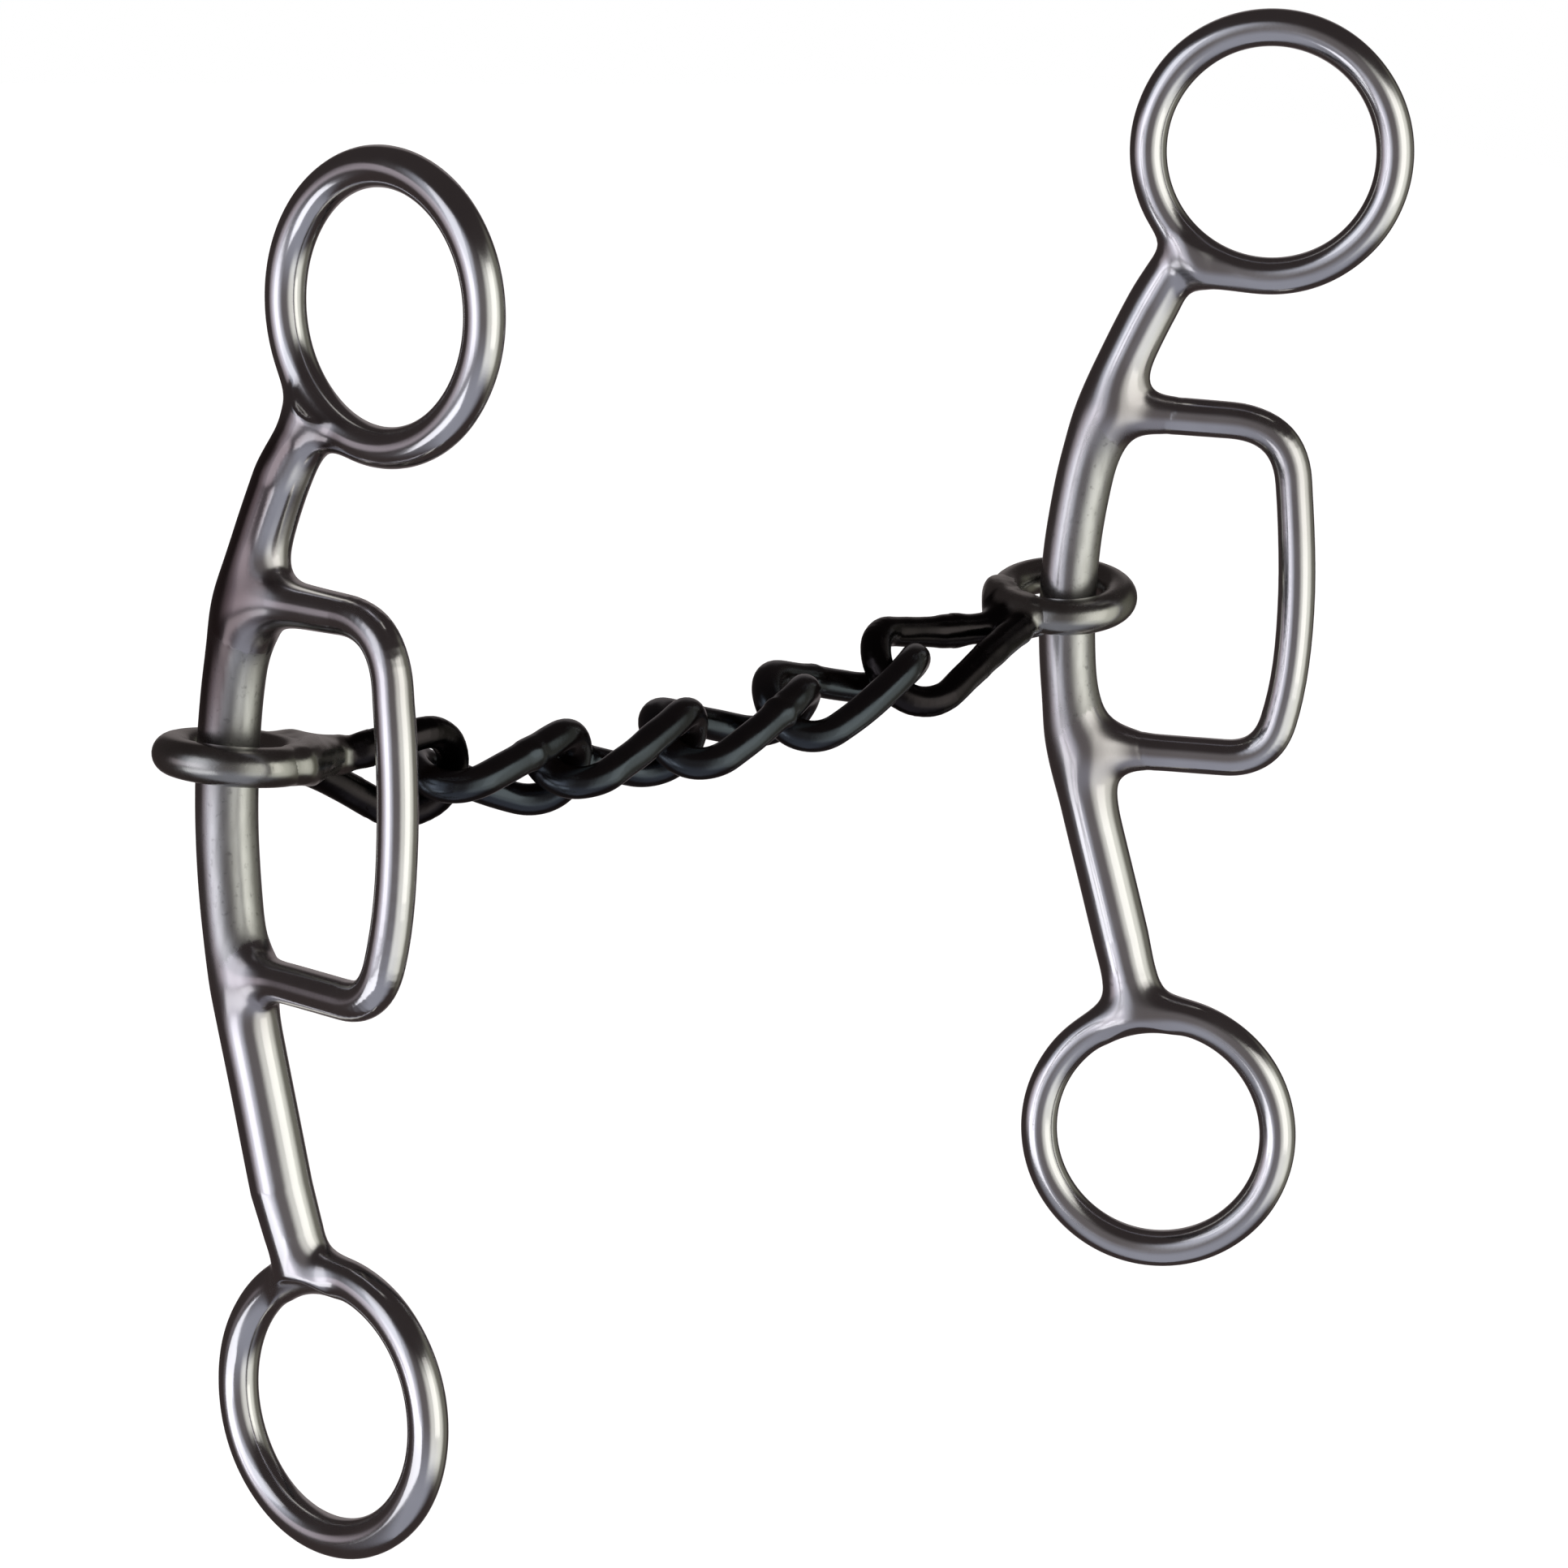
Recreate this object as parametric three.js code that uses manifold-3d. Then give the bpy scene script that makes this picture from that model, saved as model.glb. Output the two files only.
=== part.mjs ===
// A curb bit with two loose gag cheeks and a mouthpiece of twisted chain. Each cheek is a bowed bar with a
// headstall ring above, a rein ring below and a D loop behind. The bar passes through an eye at the end of
// the chain, so the cheek slides and swivels in that eye.
//
// Frame, in millimetres: the origin is the centre of the left headstall ring, +Z is up, +X runs from the
// left cheek towards the right one, and the D loops stand out towards -Y.

import * as THREE from 'three';
import { mergeVertices } from 'three/addons/utils/BufferGeometryUtils.js';
import Module from 'manifold-3d';

const wasm = await Module();
wasm.setup();

const degrees = THREE.MathUtils.degToRad;
const vector = (x, y, z) => new THREE.Vector3(x, y, z);

// Gap left between two pieces that touch or are welded on the real bit.
const GAP = 0.3;

// The cheek, seen from its side: x towards the D loop, z up, the centre of the rein ring at (0, 0).
const RING_SPACING = 130; // height of the headstall ring's centre over the rein ring's
const RING_RADIUS = 15.9; // of both rings, to the middle of their rod
const ROD = 2.4; // radius of the rod of the rings and the D loop
const BAR = 3.7; // radius of the bar's rod
const BOW_RADIUS = 90.6; // the bar's upper part is an arc of this radius
const BOW_DEPTH = 20.2; // how far the arc stands in front of the ring centres
const BOW_HEIGHT = 74.4; // height of the arc's foremost point
const SHANK_ANGLE = degrees(19.9); // lean of the straight shank below the arc
const BAR_FOOT = 15.2; // heights of the bar's ends, on the middle of the rings' rod
const BAR_HEAD = 117.2;
const BAR_OFFSET = 1.9; // how far outside the plane of the rings the bar lies
const LOOP = {
  upperArm: { height: 94.1, rise: 0.9, corner: 7.5, offset: 3.0 },
  lowerArm: { height: 49.5, rise: 1.1, corner: 5.5, offset: 4.1 },
  bowRadius: 127.6, // the far bar is a slight arc
  reach: 9.2, // how far its middle stands behind the ring centres
  middle: 67.4, // height of that middle
};

// How the two cheeks stand: the height on the bar where the eye sits, and the turn and lean of the cheek.
const CHEEKS = {
  left: { out: -1, seat: 73.9, yaw: degrees(7.5), lean: degrees(1.2), pitch: degrees(-0.4) },
  right: { out: 1, seat: 68.0, yaw: degrees(37.7), lean: degrees(0.9), pitch: degrees(1.0) },
};
const MOUTH_WIDTH = 134.5; // between the two bars, level, at the eyes
const MOUTH_RISE = 11.1; // how much higher the right eye sits

// The eyes are rings of rod about the bars, each with a tapered neck that an end link is welded to.
const EYE = { radius: 7.4, rod: 2.35 };
const NECK = { length: 11, wide: 2.9, narrow: 2.3 };
const LOWER_LEG_END = 3.5; // how far from the root of the end link its second leg starts, under the neck

// The curb chain between them, of round wire twisted a quarter turn in each link.
const WIRE = 2.0; // radius of the chain's wire
const LINK_PITCH = 18.6; // from one place where two links touch to the next
const LINK_BEND = 5.8; // radius of a link's round ends, to the middle of its wire
const LINK_TWIST = degrees(-90);
const FIRST_TOUCH = vector(29.5, -1.8, -3.3); // of the left end link and the first free link, from the left seat

// How each free link lies: its slope, its heading from +X, and its roll about its own length.
const LINKS = [
  { slope: degrees(-1), heading: degrees(-2.5), roll: degrees(62) },
  { slope: degrees(6), heading: degrees(0), roll: degrees(68) },
  { slope: degrees(8), heading: degrees(1.5), roll: degrees(82) },
  { slope: degrees(10.9), heading: degrees(1), roll: degrees(92) },
];

// Each mouth end: where the eye sits off its seat on the bar, how it tips (the sideways parts of its axis),
// and the end link's root, the roll and twist of its loop, its bend and half the width of its root.
const ENDS = {
  left: {
    eyeShift: vector(0.6, -0.6, 0.6), tip: vector(0.04, 0.04, 1),
    root: vector(9.7, 0.8, -0.6), roll: degrees(13), twist: degrees(-52), bend: 6.0, rootHalf: 1.0,
  },
  right: {
    eyeShift: vector(-0.6, 0.4, 1.2), tip: vector(-0.2, -0.12, 1),
    root: vector(-8.4, 0, -1.7), roll: degrees(40), twist: degrees(-61), bend: 5.9, rootHalf: 1.6,
  },
};

// Number of facets round a rod, and of steps along each kind.
const ROD_SIDES = 10;
const RING_STEPS = 32;
const BAR_STEPS = 24;
const LOOP_STEPS = 36;
const LINK_STEPS = 34;
const END_LINK_STEPS = 26;

// A closed geometry with only positions and merged vertices.
function closed(geometry) {
  geometry.deleteAttribute('normal');
  geometry.deleteAttribute('uv');
  return mergeVertices(geometry, 1e-4);
}

function toSolid(geometry) {
  const merged = closed(geometry.clone());
  return new wasm.Manifold(new wasm.Mesh({
    numProp: 3,
    vertProperties: new Float32Array(merged.attributes.position.array),
    triVerts: new Uint32Array(merged.index.array),
  }));
}

function toGeometry(solid) {
  const { vertProperties, triVerts } = solid.getMesh();
  const geometry = new THREE.BufferGeometry();
  geometry.setAttribute('position', new THREE.BufferAttribute(vertProperties, 3));
  geometry.setIndex(new THREE.BufferAttribute(triVerts, 1));
  return geometry;
}

// A geometry with others cut out of it.
function cut(geometry, ...cutters) {
  const solids = cutters.map(toSolid);
  return toGeometry(solids.reduce((left, cutter) => left.subtract(cutter), toSolid(geometry)));
}

// A rod of round section along an open path.
function rod(path, radius, steps) {
  const turn = (side) => (side * 2 * Math.PI) / ROD_SIDES;
  const corners = Array.from({ length: ROD_SIDES }, (_, side) => (
    new THREE.Vector2(radius * Math.cos(turn(side)), radius * Math.sin(turn(side)))
  ));
  const section = new THREE.Shape(corners);
  return new THREE.ExtrudeGeometry(section, { steps, extrudePath: path, bevelEnabled: false });
}

// A ring of round rod about the z axis.
function ring(radius, rodRadius, steps = RING_STEPS) {
  return new THREE.TorusGeometry(radius, rodRadius, ROD_SIDES, steps);
}

// A cheek's ring stands in the cheek's plane.
function cheekRing(height, rodRadius) {
  return ring(RING_RADIUS, rodRadius).rotateX(Math.PI / 2).translate(0, 0, height);
}

// How far behind the ring centres the middle of the bar lies at a height.
function barReach(height) {
  const shankTop = BOW_HEIGHT - BOW_RADIUS * Math.sin(SHANK_ANGLE);
  if (height > shankTop) {
    return BOW_RADIUS - BOW_DEPTH - Math.sqrt(BOW_RADIUS ** 2 - (height - BOW_HEIGHT) ** 2);
  }
  const shankReach = BOW_RADIUS * (1 - Math.cos(SHANK_ANGLE)) - BOW_DEPTH;
  return shankReach + (shankTop - height) * Math.tan(SHANK_ANGLE);
}

// The middle line of the bar between two heights.
class BarCurve extends THREE.Curve {
  constructor(out, foot, head) {
    super();
    Object.assign(this, { out, foot, head });
  }

  getPoint(t) {
    const height = THREE.MathUtils.lerp(this.foot, this.head, t);
    return vector(barReach(height), this.out * BAR_OFFSET, height);
  }
}

function barRod(out, radius) {
  return rod(new BarCurve(out, BAR_FOOT, BAR_HEAD), radius, BAR_STEPS);
}

// How far behind the ring centres the D loop's far bar lies at a height.
function loopReach(height) {
  return LOOP.reach - LOOP.bowRadius + Math.sqrt(LOOP.bowRadius ** 2 - (height - LOOP.middle) ** 2);
}

// The middle line of the D loop: an arm out from the bar, a round corner, the far bar, and back.
function loopPath(out) {
  const path = new THREE.CurvePath();
  const arm = ({ height, rise, offset }) => {
    const cornerHeight = height + rise;
    return {
      weld: vector(barReach(height), out * BAR_OFFSET, height),
      corner: vector(loopReach(cornerHeight), out * offset, cornerHeight),
    };
  };
  const upper = arm(LOOP.upperArm);
  const lower = arm(LOOP.lowerArm);
  const middle = vector(
    2 * LOOP.reach - (upper.corner.x + lower.corner.x) / 2,
    out * (LOOP.upperArm.offset + LOOP.lowerArm.offset) / 2,
    LOOP.middle,
  );
  const along = (from, to, distance) => from.clone().add(to.clone().sub(from).setLength(distance));
  const upperOut = along(upper.corner, upper.weld, LOOP.upperArm.corner);
  const upperDown = along(upper.corner, middle, LOOP.upperArm.corner);
  const lowerUp = along(lower.corner, middle, LOOP.lowerArm.corner);
  const lowerOut = along(lower.corner, lower.weld, LOOP.lowerArm.corner);
  path.add(new THREE.LineCurve3(upper.weld, upperOut));
  path.add(new THREE.QuadraticBezierCurve3(upperOut, upper.corner, upperDown));
  path.add(new THREE.QuadraticBezierCurve3(upperDown, middle, lowerUp));
  path.add(new THREE.QuadraticBezierCurve3(lowerUp, lower.corner, lowerOut));
  path.add(new THREE.LineCurve3(lowerOut, lower.weld));
  return path;
}

// Unit vectors along a piece and towards the top of its loop, for a loop rolled about its length.
function loopAxes(along, roll) {
  const length = along.clone().normalize();
  const up = vector(0, 0, 1).projectOnPlane(length).normalize();
  const side = vector(0, 0, 0).crossVectors(length, up);
  const top = up.multiplyScalar(Math.cos(roll)).addScaledVector(side, Math.sin(roll));
  return { length, top, side: vector(0, 0, 0).crossVectors(length, top) };
}

// A point of a twisted loop: so far along it, so far from its length, with the twist reached there.
function loopPoint(origin, axes, along, across, twist) {
  return origin.clone()
    .addScaledVector(axes.length, along)
    .addScaledVector(axes.top, across * Math.cos(twist))
    .addScaledVector(axes.side, across * Math.sin(twist));
}

// The middle line of a free link: two legs and two round ends, twisted evenly from end to end.
class LinkCurve extends THREE.Curve {
  constructor(start, lie) {
    super();
    const { slope, heading, roll } = lie;
    const along = vector(1, 0, 0).applyEuler(new THREE.Euler(0, -slope, heading, 'ZYX'));
    this.axes = loopAxes(along, roll);
    this.end = start.clone().addScaledVector(along, LINK_PITCH);
    this.middle = start.clone().lerp(this.end, 0.5);
    this.length = LINK_PITCH + 2 * WIRE + GAP;
  }

  getPoint(t) {
    const straight = this.length - 2 * LINK_BEND;
    const turn = Math.PI * LINK_BEND;
    const half = t < 0.5 ? 1 : -1;
    const distance = (t < 0.5 ? t : t - 0.5) * 2 * (straight + turn);
    const bend = (distance - straight) / LINK_BEND;
    const along = bend < 0 ? distance - straight / 2 : straight / 2 + LINK_BEND * Math.sin(bend);
    const across = bend < 0 ? LINK_BEND : LINK_BEND * Math.cos(bend);
    const twist = (LINK_TWIST * half * along) / this.length;
    return loopPoint(this.middle, this.axes, half * along, half * across, twist);
  }

  // The middle of the wire at the link's first end (-1) or last end (1), and the way it runs there.
  wire(end) {
    const { length } = this.axes;
    return {
      point: this.middle.clone().addScaledVector(length, (end * this.length) / 2),
      axis: loopPoint(vector(0, 0, 0), this.axes, 0, 1, (end * LINK_TWIST) / 2),
    };
  }
}

// The middle line of an end link: out along one leg from the neck, round the bend that holds the next link,
// and back along the other leg to the neck's underside.
class EndLinkCurve extends THREE.Curve {
  constructor(root, touch, end) {
    super();
    const along = touch.clone().sub(root);
    this.axes = loopAxes(along, end.roll);
    Object.assign(this, { root, end });
    this.apex = along.length() + WIRE + GAP / 2;
    this.centre = this.apex - end.bend;
    this.spread = Math.asin((end.bend - end.rootHalf) / this.centre);
    this.legLength = (this.centre - end.bend * Math.sin(this.spread)) / Math.cos(this.spread);
  }

  at(along, across) {
    return loopPoint(this.root, this.axes, along, across, this.end.twist * (along / this.apex - 1));
  }

  // A point on the leg of the given side, so far from the root.
  leg(distance, side) {
    const across = this.end.rootHalf + distance * Math.sin(this.spread);
    return this.at(distance * Math.cos(this.spread), side * across);
  }

  // The middle of the wire at the top of the bend, and the way it runs there.
  wire() {
    return { point: this.at(this.apex, 0), axis: this.axes.top.clone() };
  }

  getPoint(t) {
    const sweep = Math.PI / 2 + this.spread;
    const out = this.legLength - NECK.length - GAP;
    const turn = 2 * sweep * this.end.bend;
    const back = this.legLength - LOWER_LEG_END;
    const distance = t * (out + turn + back);
    if (distance < out) {
      return this.leg(NECK.length + GAP + distance, 1);
    }
    if (distance > out + turn) {
      return this.leg(this.legLength + out + turn - distance, -1);
    }
    const angle = sweep - (distance - out) / this.end.bend;
    return this.at(this.centre + this.end.bend * Math.cos(angle), this.end.bend * Math.sin(angle));
  }
}

const steel = (colour, roughness) => new THREE.MeshStandardMaterial({ color: colour, roughness, metalness: 1 });

function piece(name, geometry, colour, roughness) {
  const mesh = new THREE.Mesh(geometry, steel(colour, roughness));
  mesh.name = name;
  return mesh;
}

// A cheek, welded into one: its group turns about the seat, where the eye rides on the bar.
function cheek(side, seatPosition) {
  const { out, seat, yaw, lean, pitch } = CHEEKS[side];
  const group = new THREE.Group();
  group.position.copy(seatPosition);
  group.rotation.set(-out * lean, pitch, yaw - Math.PI / 2, 'ZYX');
  const rein = cheekRing(0, ROD);
  const headstall = cheekRing(RING_SPACING, ROD);
  const bar = cut(barRod(out, BAR), cheekRing(0, ROD + GAP), cheekRing(RING_SPACING, ROD + GAP));
  const loop = cut(rod(loopPath(out), ROD, LOOP_STEPS), barRod(out, BAR + GAP));
  const pieces = { cheek_bar: bar, headstall_ring: headstall, rein_ring: rein, d_loop: loop };
  for (const [name, geometry] of Object.entries(pieces)) {
    const mesh = piece(`${side}_${name}`, geometry, 0xb9bcc0, 0.25);
    mesh.position.set(-barReach(seat), -out * BAR_OFFSET, -seat);
    group.add(mesh);
  }
  return group;
}

// A ring of rod about an eye's axis, as a geometry in the part's own frame.
function eyeRing(centre, axis, rodRadius) {
  const turn = new THREE.Quaternion().setFromUnitVectors(vector(0, 0, 1), axis);
  return ring(EYE.radius, rodRadius).applyQuaternion(turn).translate(...centre.toArray());
}

// The tapered neck, from the eye's ring to the place where the end link's leg is welded on.
function neckRod(from, to, extra) {
  const along = to.clone().sub(from);
  const cone = new THREE.CylinderGeometry(NECK.narrow + extra, NECK.wide + extra, along.length(), 20);
  const turn = new THREE.Quaternion().setFromUnitVectors(vector(0, 1, 0), along.clone().normalize());
  return cone.applyQuaternion(turn).translate(...from.clone().lerp(to, 0.5).toArray());
}

// An eye, its neck and its end link.
function mouthEnd(side, seatPosition, touch) {
  const end = ENDS[side];
  const centre = seatPosition.clone().add(end.eyeShift);
  const axis = end.tip.clone().normalize();
  const root = seatPosition.clone().add(end.root);
  const curve = new EndLinkCurve(root, touch, end);
  const collar = curve.leg(NECK.length, 1);
  const neck = cut(neckRod(root, collar, 0), eyeRing(centre, axis, EYE.rod + GAP));
  const link = cut(
    rod(curve, WIRE, END_LINK_STEPS),
    neckRod(root, collar, GAP),
    eyeRing(centre, axis, EYE.rod + GAP),
  );
  const pieces = [
    piece(`${side}_eye`, eyeRing(centre, axis, EYE.rod), 0x6f6a62, 0.35),
    piece(`${side}_eye_neck`, neck, 0x6f6a62, 0.35),
    piece(`${side}_end_link`, link, 0x1c1a1c, 0.3),
  ];
  return { pieces, centre, axis, curve };
}

// Where each moving piece turns: a point of the axis and its direction. The bow of a cheek's bar is a true arc,
// so the eye that slides along it turns about the arc's centre. A link swings about the wire of one of the two
// ends that meet: its own first end, which lets the chain sag and lift, or the last end of the link before it,
// which lets it bend sideways. Every second axis of each kind is reversed, so that turning all of them the same
// way folds the chain in a zigzag.
function jointAxes(cheeks, ends, links) {
  const reversed = ({ point, axis }) => ({ point, axis: axis.negate() });
  const slide = (side) => {
    const { seat, out } = CHEEKS[side];
    const centre = vector(BOW_RADIUS - BOW_DEPTH - barReach(seat), -out * BAR_OFFSET, BOW_HEIGHT - seat);
    return {
      point: centre.applyEuler(cheeks[side].rotation).add(cheeks[side].position),
      axis: vector(0, 1, 0).applyEuler(cheeks[side].rotation),
    };
  };
  return {
    left_slide: slide('left'),
    left_swivel: { point: ends.left.centre, axis: ends.left.axis },
    link_1_swing: links[0].wire(-1),
    link_2_swing: links[0].wire(1),
    link_3_swing: reversed(links[2].wire(-1)),
    link_4_swing: reversed(links[2].wire(1)),
    right_end_swing: reversed(ends.right.curve.wire()),
    right_swivel: { point: ends.right.centre, axis: ends.right.axis },
    right_slide: slide('right'),
  };
}

// The whole bit, built about the left seat and then moved to put the origin at the left headstall ring.
function bit() {
  const group = new THREE.Group();
  const seats = { left: vector(0, 0, 0), right: vector(MOUTH_WIDTH, 0, MOUTH_RISE) };
  const cheeks = { left: cheek('left', seats.left), right: cheek('right', seats.right) };
  group.add(cheeks.left, cheeks.right);
  const links = [];
  let touch = FIRST_TOUCH;
  for (const lie of LINKS) {
    const link = new LinkCurve(touch, lie);
    links.push(link);
    touch = link.end;
  }
  links.forEach((link, index) => {
    const geometry = new THREE.TubeGeometry(link, LINK_STEPS, WIRE, ROD_SIDES, true);
    group.add(piece(`chain_link_${index + 1}`, geometry, 0x141314, 0.3));
  });
  const ends = {
    left: mouthEnd('left', seats.left, FIRST_TOUCH),
    right: mouthEnd('right', seats.right, touch),
  };
  group.add(...ends.left.pieces, ...ends.right.pieces);
  const { seat, out } = CHEEKS.left;
  const ringCentre = vector(-barReach(seat), -out * BAR_OFFSET, RING_SPACING - seat);
  group.position.copy(ringCentre.applyEuler(cheeks.left.rotation)).negate();
  group.userData.joints = jointAxes(cheeks, ends, links);
  return group;
}

const whole = new THREE.Group();
whole.add(bit());

export default whole;
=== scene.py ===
"""Looks of a curb bit with two loose gag cheeks and a mouthpiece of twisted chain.

Each cheek is one weld-blended skin of bar, rings and D loop, parted into its four pieces in the middle of
each weld. The skins of cheeks, necks and end links are zero surfaces of distance fields, meshed on a grid and
then pulled exactly onto the field. The free links and the eyes are tubes. Both work in millimetres.
"""

import math

import bpy
import numpy as np
import openvdb
from mathutils import Matrix, Vector


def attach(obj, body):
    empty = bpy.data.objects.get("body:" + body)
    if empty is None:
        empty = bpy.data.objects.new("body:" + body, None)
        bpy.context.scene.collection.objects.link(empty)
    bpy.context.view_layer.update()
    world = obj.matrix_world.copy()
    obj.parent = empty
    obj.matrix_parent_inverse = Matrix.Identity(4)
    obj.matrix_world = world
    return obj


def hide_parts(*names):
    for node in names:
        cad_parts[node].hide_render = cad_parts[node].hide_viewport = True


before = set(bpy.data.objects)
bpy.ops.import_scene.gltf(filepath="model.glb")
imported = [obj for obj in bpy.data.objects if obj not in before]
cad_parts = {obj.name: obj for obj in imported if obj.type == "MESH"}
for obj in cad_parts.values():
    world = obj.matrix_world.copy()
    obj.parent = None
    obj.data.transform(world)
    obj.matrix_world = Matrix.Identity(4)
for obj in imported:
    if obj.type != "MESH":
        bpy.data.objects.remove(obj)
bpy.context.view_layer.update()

MM = 0.001

# Measures of the bit, in millimetres and degrees. They are those of the CAD part, except that a neck is
# slimmer at the eye, where webs join it.
RING_SPACING = 130.0
RING_RADIUS = 15.9
ROD = 2.4
BAR = 3.7
BOW_RADIUS = 90.6
BOW_DEPTH = 20.2
BOW_HEIGHT = 74.4
SHANK_ANGLE = math.radians(19.9)
BAR_FOOT = 15.2
BAR_HEAD = 117.2
BAR_OFFSET = 1.9
LOOP_UPPER = {"height": 94.1, "rise": 0.9, "corner": 7.5, "offset": 3.0}
LOOP_LOWER = {"height": 49.5, "rise": 1.1, "corner": 5.5, "offset": 4.1}
LOOP_BOW = 127.6
LOOP_REACH = 9.2
LOOP_MIDDLE = 67.4
CHEEKS = {
    "left": {"out": -1, "seat": 73.9, "yaw": 7.5, "lean": 1.2, "pitch": -0.4},
    "right": {"out": 1, "seat": 68.0, "yaw": 37.7, "lean": 0.9, "pitch": 1.0},
}
MOUTH_WIDTH = 134.5
MOUTH_RISE = 11.1
EYE_RADIUS = 7.4
EYE_ROD = 2.35
NECK_LENGTH = 11.0
NECK_WIDE = 2.6
LOWER_LEG_END = 3.5
GAP = 0.3
WIRE = 2.0
LINK_PITCH = 18.6
LINK_BEND = 5.8
LINK_TWIST = math.radians(-90)
FIRST_TOUCH = (29.5, -1.8, -3.3)
LINKS = [(-1, -2.5, 62), (6, 0, 68), (8, 1.5, 82), (10.9, 1, 92)]  # slope, heading and roll
LINK_WELDS = (0.11, 0.62, 0.15, 0.60)  # where round each link its weld bead is, as a share of its length
ENDS = {
    "left": {
        "shift": (0.6, -0.6, 0.6), "tip": (0.04, 0.04, 1), "root": (9.7, 0.8, -0.6),
        "roll": 13, "twist": -52, "bend": 6.0, "root_half": 1.0, "bare": 6.6, "web": 58, "web_end": 5.6,
    },
    "right": {
        "shift": (-0.6, 0.4, 1.2), "tip": (-0.2, -0.12, 1), "root": (-8.4, 0, -1.7),
        "roll": 40, "twist": -61, "bend": 5.9, "root_half": 1.6, "bare": 2.2, "web": 30, "web_end": 3.4,
    },
}

# How far each weld's fillet reaches along the two rods that it joins: at the headstall ring in front of the
# bar and behind it, at the rein ring, and above and below each arm of the D loop. Inside a ring the reach is
# scaled by a factor of its own. The seam is where the D loop's clean rod begins, measured from the bar's skin;
# on the right cheek a shallow groove marks it. The swell is how much thicker the upper arm gets at its weld.
WELDS = {
    "left": {
        "head_front": 5.5, "head": 5.6, "head_inside": 0.3, "foot": 3.8, "foot_inside": 1.5,
        "upper": (6.0, 9.5), "lower": (5.5, 6.0), "swell": 0.45, "seam": 3.2, "groove": 0.0,
    },
    "right": {
        "head_front": 3.4, "head": 10.5, "head_inside": 0.25, "foot": 5.8, "foot_inside": 1.0,
        "upper": (6.2, 7.4), "lower": (10.0, 8.0), "swell": 0.1, "seam": 5.0, "groove": 0.05,
    },
}
WELD_LUMPS = (0.06, 9.0)  # height and wavelength of the unevenness of the cheeks' welds
ROD_LUMPS = (0.02, 14.0)  # and of the whole cheek
LOOP_START = 2.6  # how far from the bar's middle the D loop's rod starts
SLIM_BAR = 0.3  # how much thinner the bar's upper part is
SLIM_FROM, SLIM_TO = 90, 108  # heights between which it gets so
BAR_END_SHIFT = 0.9  # how far the bar's ends move towards the plane of the rings
COLLAR_SWELL = 0.2  # how much thicker than its wire the weld collar of a neck is
COLLAR_DROP = 0.45  # how far the collar sits below the neck's middle line
WEB_DROP = 0.3
NECK_WELD = 5.0  # how far the fillet between an eye's ring and its neck reaches
NECK_SPREAD = 13.5  # how far from its root the neck's piece wraps along the ring
EYE_CLEAR = 6.2  # the neck stays out of this radius about the eye's axis
BEAD_SWELL = 0.10  # how much a link's weld bead swells the wire, as a share of its radius
BEAD_LENGTH = 0.016  # half the length of the bead, as a share of the link's length
EYE_BAND = (46, 53, 90, 97)  # heights on the bar between which the eye rubs: see band
DARK_REFLECTION_BAND = (66, 84, 112, 120)  # and between which the left bar gets a painted dark reflection
CHEEK_HALF = 8.1  # half the width of the space that a cheek is meshed in
CHEEK_VOXEL = 0.45  # step of the grid that a cheek is meshed on
NECK_VOXEL = 0.4
PIECES = ("cheek_bar", "headstall_ring", "rein_ring", "d_loop")
FAR = 50.0  # a distance beyond all that is looked at
FRONT = -42.0  # azimuth from which the camera looks, turned from -Y towards +X
MIDDLE = Vector((0.07, 0.0, -0.06))  # of the bit, in metres, where all lights are aimed


# ---------------------------------------------------------------- distance fields

def weld_share(a, b, reach):
    """1 in the middle of the fillet between two distances, 0 outside it."""
    return np.maximum(reach - np.abs(a - b), 0) / reach


def smooth_min(a, b, reach):
    """The lower of two distances, with a fillet where they meet."""
    return np.minimum(a, b) - weld_share(a, b, reach) ** 3 * reach / 6


def smooth_max(a, b, reach):
    return -smooth_min(-a, -b, reach)


def dots(a, b):
    return np.einsum("ij,ij->i", a, b)


def lengths(v):
    return np.sqrt(dots(v, v))


def ring_distance(p, centre, axis, radius, rod):
    away = p - centre
    along = away @ axis
    across = lengths(away - np.outer(along, axis))
    return np.hypot(across - radius, along) - rod


def line_distance(p, path, radii):
    """Distance to a rod along a polyline, whose radius is given at each of its points."""
    best = np.full(len(p), FAR)
    for start, end, first, last in zip(path[:-1], path[1:], radii[:-1], radii[1:]):
        run = end - start
        share = np.clip((p - start) @ run / (run @ run), 0, 1)
        distance = lengths(p - start - np.outer(share, run)) - (first + share * (last - first))
        best = np.minimum(best, distance)
    return best


def waves(p, seed, wavelength, count=10):
    """A smooth irregularity between about -1 and 1, the same on each run."""
    rng = np.random.default_rng(seed)
    total = np.zeros(len(p))
    for _ in range(count):
        direction = rng.normal(size=3)
        direction *= 2 * math.pi / wavelength / np.linalg.norm(direction) * rng.uniform(0.6, 1.5)
        total += np.sin(p @ direction + rng.uniform(0, 2 * math.pi))
    return total / math.sqrt(count)


def smooth_step(x, low, high):
    t = np.clip((x - low) / (high - low), 0, 1)
    return t * t * (3 - 2 * t)


# ---------------------------------------------------------------- the shape of a cheek

def bar_reach(height):
    """How far behind the ring centres the middle of the bar lies at a height."""
    shank_top = BOW_HEIGHT - BOW_RADIUS * math.sin(SHANK_ANGLE)
    if height > shank_top:
        return BOW_RADIUS - BOW_DEPTH - math.sqrt(BOW_RADIUS**2 - (height - BOW_HEIGHT) ** 2)
    bow_end = BOW_RADIUS * (1 - math.cos(SHANK_ANGLE)) - BOW_DEPTH
    return bow_end + (shank_top - height) * math.tan(SHANK_ANGLE)


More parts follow.
